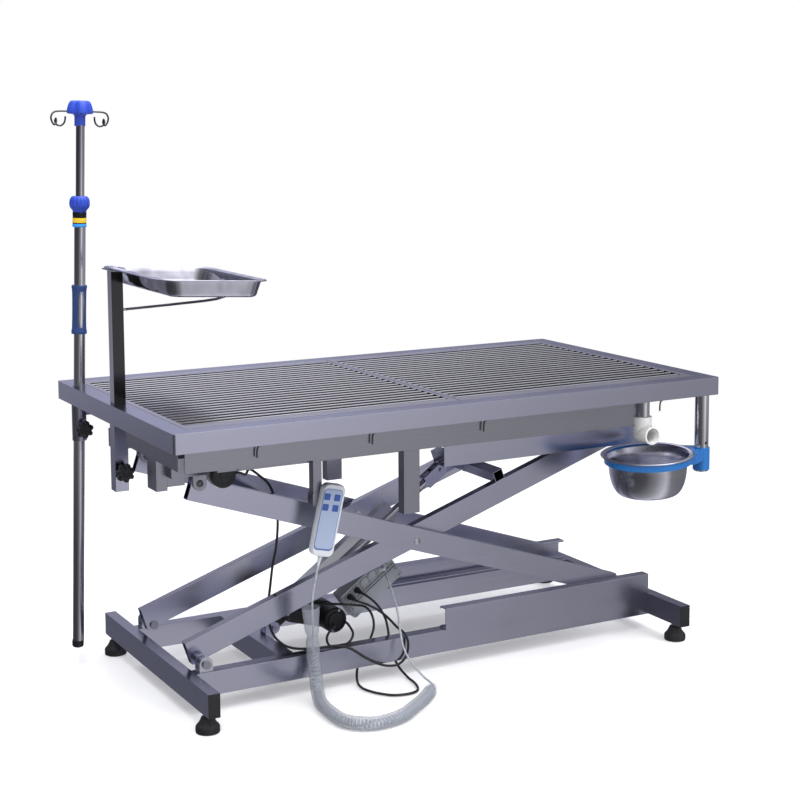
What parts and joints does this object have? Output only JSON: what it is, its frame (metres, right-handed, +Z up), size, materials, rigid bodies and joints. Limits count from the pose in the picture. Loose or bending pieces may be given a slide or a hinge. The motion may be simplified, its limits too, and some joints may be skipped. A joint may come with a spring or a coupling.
{
  "type": "veterinary surgery table",
  "caption": "Electric scissor-lift veterinary surgery table with lift-out gratings over a drip tray, drip stand, instrument tray, waste bowl and corded handset.",
  "frame": {"origin": "on the floor, in the middle of the box round the table without its cords", "axes": "+X along the top, from the drip stand and instrument tray towards the waste bowl; +Y across it, away from the handset and the waste bowl; +Z up"},
  "size_m": [1.3497, 0.8125, 1.2642],
  "materials": {
    "base_frame": "satin stainless steel",
    "lower_channels": "satin stainless steel",
    "inner_arms": "satin stainless steel",
    "outer_arms": "satin stainless steel",
    "top_frame": "satin stainless steel",
    "subframe": "satin stainless steel",
    "upper_channels": "satin stainless steel",
    "apron_panels": "satin stainless steel",
    "grating_left": "satin stainless steel",
    "grating_right": "satin stainless steel",
    "drip_tray": "satin stainless steel",
    "tray_post": "satin stainless steel",
    "instrument_tray": "satin stainless steel",
    "bowl": "satin stainless steel",
    "stand_lower_tube": "satin stainless steel",
    "stand_upper_tube": "satin stainless steel",
    "stand_sleeve": "satin stainless steel",
    "post_sleeve": "satin stainless steel",
    "bowl_post": "satin stainless steel",
    "drain_pipe": "satin stainless steel",
    "tray_carrier": "satin stainless steel",
    "foot_studs": "bright",
    "lower_lugs": "bright",
    "drive_rod": "bright",
    "tie_hooks": "bright",
    "stand_hooks": "bright",
    "lower_bolts": "zinc plated",
    "cross_bolts": "zinc plated",
    "upper_bolts": "zinc plated",
    "base_end_caps": "black plastic",
    "junction_box": "black plastic",
    "stand_knob": "black plastic",
    "tray_knob": "black plastic",
    "drive_motor": "black plastic",
    "control_plugs": "black plastic",
    "lower_rollers": "black polyamide",
    "upper_rollers": "black polyamide",
    "foot_pad_1": "black rubber",
    "button_1": "dark blue",
    "foot_pad_2": "black rubber",
    "button_2": "dark blue",
    "foot_pad_3": "black rubber",
    "button_3": "dark blue",
    "foot_pad_4": "black rubber",
    "button_4": "dark blue",
    "drain_elbow": "white pipe fitting",
    "stand_fittings": "navy and black",
    "stand_collar": "blue",
    "stand_head": "blue",
    "bowl_holder": "bright blue",
    "drive_tube": "anodised",
    "control_box": "light grey",
    "handset_shell": "light grey",
    "power_cable": "black jacket",
    "motor_lead": "black jacket",
    "motor_loop": "black jacket",
    "handset_lead": "grey jacket",
    "handset_tail": "grey jacket",
    "curly_cord": "grey jacket",
    "cord_sleeve": "clear soft tube"
  },
  "bodies": {
    "base": {"base_frame": "base_frame", "base_end_caps": "base_end_caps", "lower_channels": "lower_channels", "lower_lugs": "lower_lugs", "lower_bolts": "lower_bolts", "foot_studs": "foot_studs", "power_cable": "power_cable", "motor_lead": "motor_lead", "handset_lead": "handset_lead", "handset_tail": "handset_tail", "curly_cord": "curly_cord", "cord_sleeve": "cord_sleeve"},
    "foot_1": {"foot_pad_1": "foot_pad_1"},
    "foot_2": {"foot_pad_2": "foot_pad_2"},
    "foot_3": {"foot_pad_3": "foot_pad_3"},
    "foot_4": {"foot_pad_4": "foot_pad_4"},
    "inner_pair": {"inner_arms": "inner_arms"},
    "outer_pair": {"outer_arms": "outer_arms", "cross_bolts": "cross_bolts"},
    "low_wheels": {"lower_rollers": "lower_rollers"},
    "high_wheels": {"upper_rollers": "upper_rollers"},
    "table_top": {"top_frame": "top_frame", "subframe": "subframe", "upper_channels": "upper_channels", "upper_bolts": "upper_bolts", "apron_panels": "apron_panels", "drip_tray": "drip_tray", "drain_pipe": "drain_pipe", "drain_elbow": "drain_elbow", "tie_hooks": "tie_hooks", "stand_sleeve": "stand_sleeve", "post_sleeve": "post_sleeve", "bowl_post": "bowl_post", "junction_box": "junction_box"},
    "left_grating": {"grating_left": "grating_left"},
    "right_grating": {"grating_right": "grating_right"},
    "drip_stand": {"stand_lower_tube": "stand_lower_tube", "stand_fittings": "stand_fittings"},
    "drip_pole": {"stand_upper_tube": "stand_upper_tube"},
    "lock_collar": {"stand_collar": "stand_collar"},
    "hook_head": {"stand_head": "stand_head", "stand_hooks": "stand_hooks"},
    "stand_screw": {"stand_knob": "stand_knob"},
    "tray_screw": {"tray_knob": "tray_knob"},
    "tray_stand": {"tray_post": "tray_post", "tray_carrier": "tray_carrier"},
    "tray": {"instrument_tray": "instrument_tray"},
    "bowl_arm": {"bowl_holder": "bowl_holder"},
    "bowl_body": {"bowl": "bowl"},
    "drive": {"drive_tube": "drive_tube", "drive_motor": "drive_motor", "control_box": "control_box", "control_plugs": "control_plugs", "motor_loop": "motor_loop"},
    "push_rod": {"drive_rod": "drive_rod"},
    "handset": {"handset_shell": "handset_shell"},
    "key_1": {"button_1": "button_1"},
    "key_2": {"button_2": "button_2"},
    "key_3": {"button_3": "button_3"},
    "key_4": {"button_4": "button_4"}
  },
  "joints": [
    {"name": "lift", "type": "hinge", "parent": "base", "child": "inner_pair", "pos_m": [-0.511, 0.0319, 0.106], "axis": [0, -1, 0], "range_deg": [-15.07, 24], "deforming": ["power_cable", "motor_lead", "handset_lead", "handset_tail", "curly_cord", "cord_sleeve"]},
    {"name": "crossing", "type": "hinge", "parent": "inner_pair", "child": "outer_pair", "pos_m": [0.00072, 0.0319, 0.29499], "axis": [0, -1, 0], "range_deg": [-48, 30.14]},
    {"name": "top_pivot", "type": "hinge", "parent": "outer_pair", "child": "table_top", "pos_m": [-0.511, 0.0319, 0.48397], "axis": [0, -1, 0], "range_deg": [-15.07, 24]},
    {"name": "low_wheel_spin", "type": "hinge", "parent": "outer_pair", "child": "low_wheels", "pos_m": [0.51243, 0.0319, 0.106], "axis": [0, 1, 0], "continuous": true},
    {"name": "high_wheel_spin", "type": "hinge", "parent": "inner_pair", "child": "high_wheels", "pos_m": [0.51243, 0.0319, 0.48397], "axis": [0, 1, 0], "continuous": true},
    {"name": "drive_pivot", "type": "hinge", "parent": "base", "child": "drive", "pos_m": [-0.2805, 0.0319, 0.1], "axis": [0, -1, 0], "range_deg": [-19.44, 30.95]},
    {"name": "rod_stroke", "type": "slide", "parent": "drive", "child": "push_rod", "axis": [0.8137, 0, 0.5813], "range_m": [-0.0394, 0.0627]},
    {"name": "foot_turn_1", "type": "hinge", "parent": "base", "child": "foot_1", "pos_m": [-0.547, -0.2446, 0.017], "axis": [0, 0, 1], "continuous": true},
    {"name": "foot_turn_2", "type": "hinge", "parent": "base", "child": "foot_2", "pos_m": [-0.547, 0.3084, 0.017], "axis": [0, 0, 1], "continuous": true},
    {"name": "foot_turn_3", "type": "hinge", "parent": "base", "child": "foot_3", "pos_m": [0.63201, -0.2446, 0.017], "axis": [0, 0, 1], "continuous": true},
    {"name": "foot_turn_4", "type": "hinge", "parent": "base", "child": "foot_4", "pos_m": [0.63201, 0.3084, 0.017], "axis": [0, 0, 1], "continuous": true},
    {"name": "left_grating_lift", "type": "slide", "parent": "table_top", "child": "left_grating", "axis": [0, 0, 1], "range_m": [0, 0.11]},
    {"name": "right_grating_lift", "type": "slide", "parent": "table_top", "child": "right_grating", "axis": [0, 0, 1], "range_m": [0, 0.15]},
    {"name": "stand_height", "type": "slide", "parent": "table_top", "child": "drip_stand", "axis": [0.0323, 0, 0.9995], "range_m": [0, 0.35]},
    {"name": "pole_height", "type": "slide", "parent": "drip_stand", "child": "drip_pole", "axis": [0.0323, 0, 0.9995], "range_m": [-0.15, 0.18]},
    {"name": "collar_turn", "type": "hinge", "parent": "drip_stand", "child": "lock_collar", "pos_m": [-0.609, 0.2939, 1.01907], "axis": [0.0323, 0, 0.9995], "continuous": true},
    {"name": "head_turn", "type": "hinge", "parent": "drip_pole", "child": "hook_head", "pos_m": [-0.60207, 0.2939, 1.23366], "axis": [0.0323, 0, 0.9995], "continuous": true},
    {"name": "stand_knob_turn", "type": "hinge", "parent": "table_top", "child": "stand_screw", "pos_m": [-0.6241, 0.2539, 0.53997], "axis": [0, 1, 0], "continuous": true},
    {"name": "tray_knob_turn", "type": "hinge", "parent": "table_top", "child": "tray_screw", "pos_m": [-0.6205, -0.0001, 0.49097], "axis": [0, 1, 0], "continuous": true},
    {"name": "tray_height", "type": "slide", "parent": "table_top", "child": "tray_stand", "axis": [0, 0, 1], "range_m": [0, 0.12]},
    {"name": "tray_lift", "type": "slide", "parent": "tray_stand", "child": "tray", "axis": [0, 0, 1], "range_m": [0, 0.1]},
    {"name": "bowl_swing", "type": "hinge", "parent": "table_top", "child": "bowl_arm", "pos_m": [0.6465, -0.3091, 0.41897], "axis": [0, 0, 1], "range_deg": [-5, 140]},
    {"name": "bowl_lift", "type": "slide", "parent": "bowl_arm", "child": "bowl_body", "axis": [-0.0516, -0.0178, 0.9985], "range_m": [0, 0.018]},
    {"name": "handset_unhook", "type": "slide", "parent": "table_top", "child": "handset", "axis": [0, -1, 0], "range_m": [0, 0.1]},
    {"name": "key_1_press", "type": "slide", "parent": "handset", "child": "key_1", "axis": [0, 1, 0], "range_m": [0, 0.0012], "stiffness_N_per_m": 500},
    {"name": "key_2_press", "type": "slide", "parent": "handset", "child": "key_2", "axis": [0, 1, 0], "range_m": [0, 0.0012], "stiffness_N_per_m": 500},
    {"name": "key_3_press", "type": "slide", "parent": "handset", "child": "key_3", "axis": [0, 1, 0], "range_m": [0, 0.0012], "stiffness_N_per_m": 500},
    {"name": "key_4_press", "type": "slide", "parent": "handset", "child": "key_4", "axis": [0, 1, 0], "range_m": [0, 0.0012], "stiffness_N_per_m": 500}
  ],
  "couplings": [
    {"joint": "crossing", "follows": "lift", "ratio": -2},
    {"joint": "top_pivot", "follows": "lift", "ratio": 1},
    {"joint": "drive_pivot", "follows": "lift", "ratio": 1.289},
    {"joint": "rod_stroke", "follows": "lift", "m_per_rad": 0.1495}
  ]
}
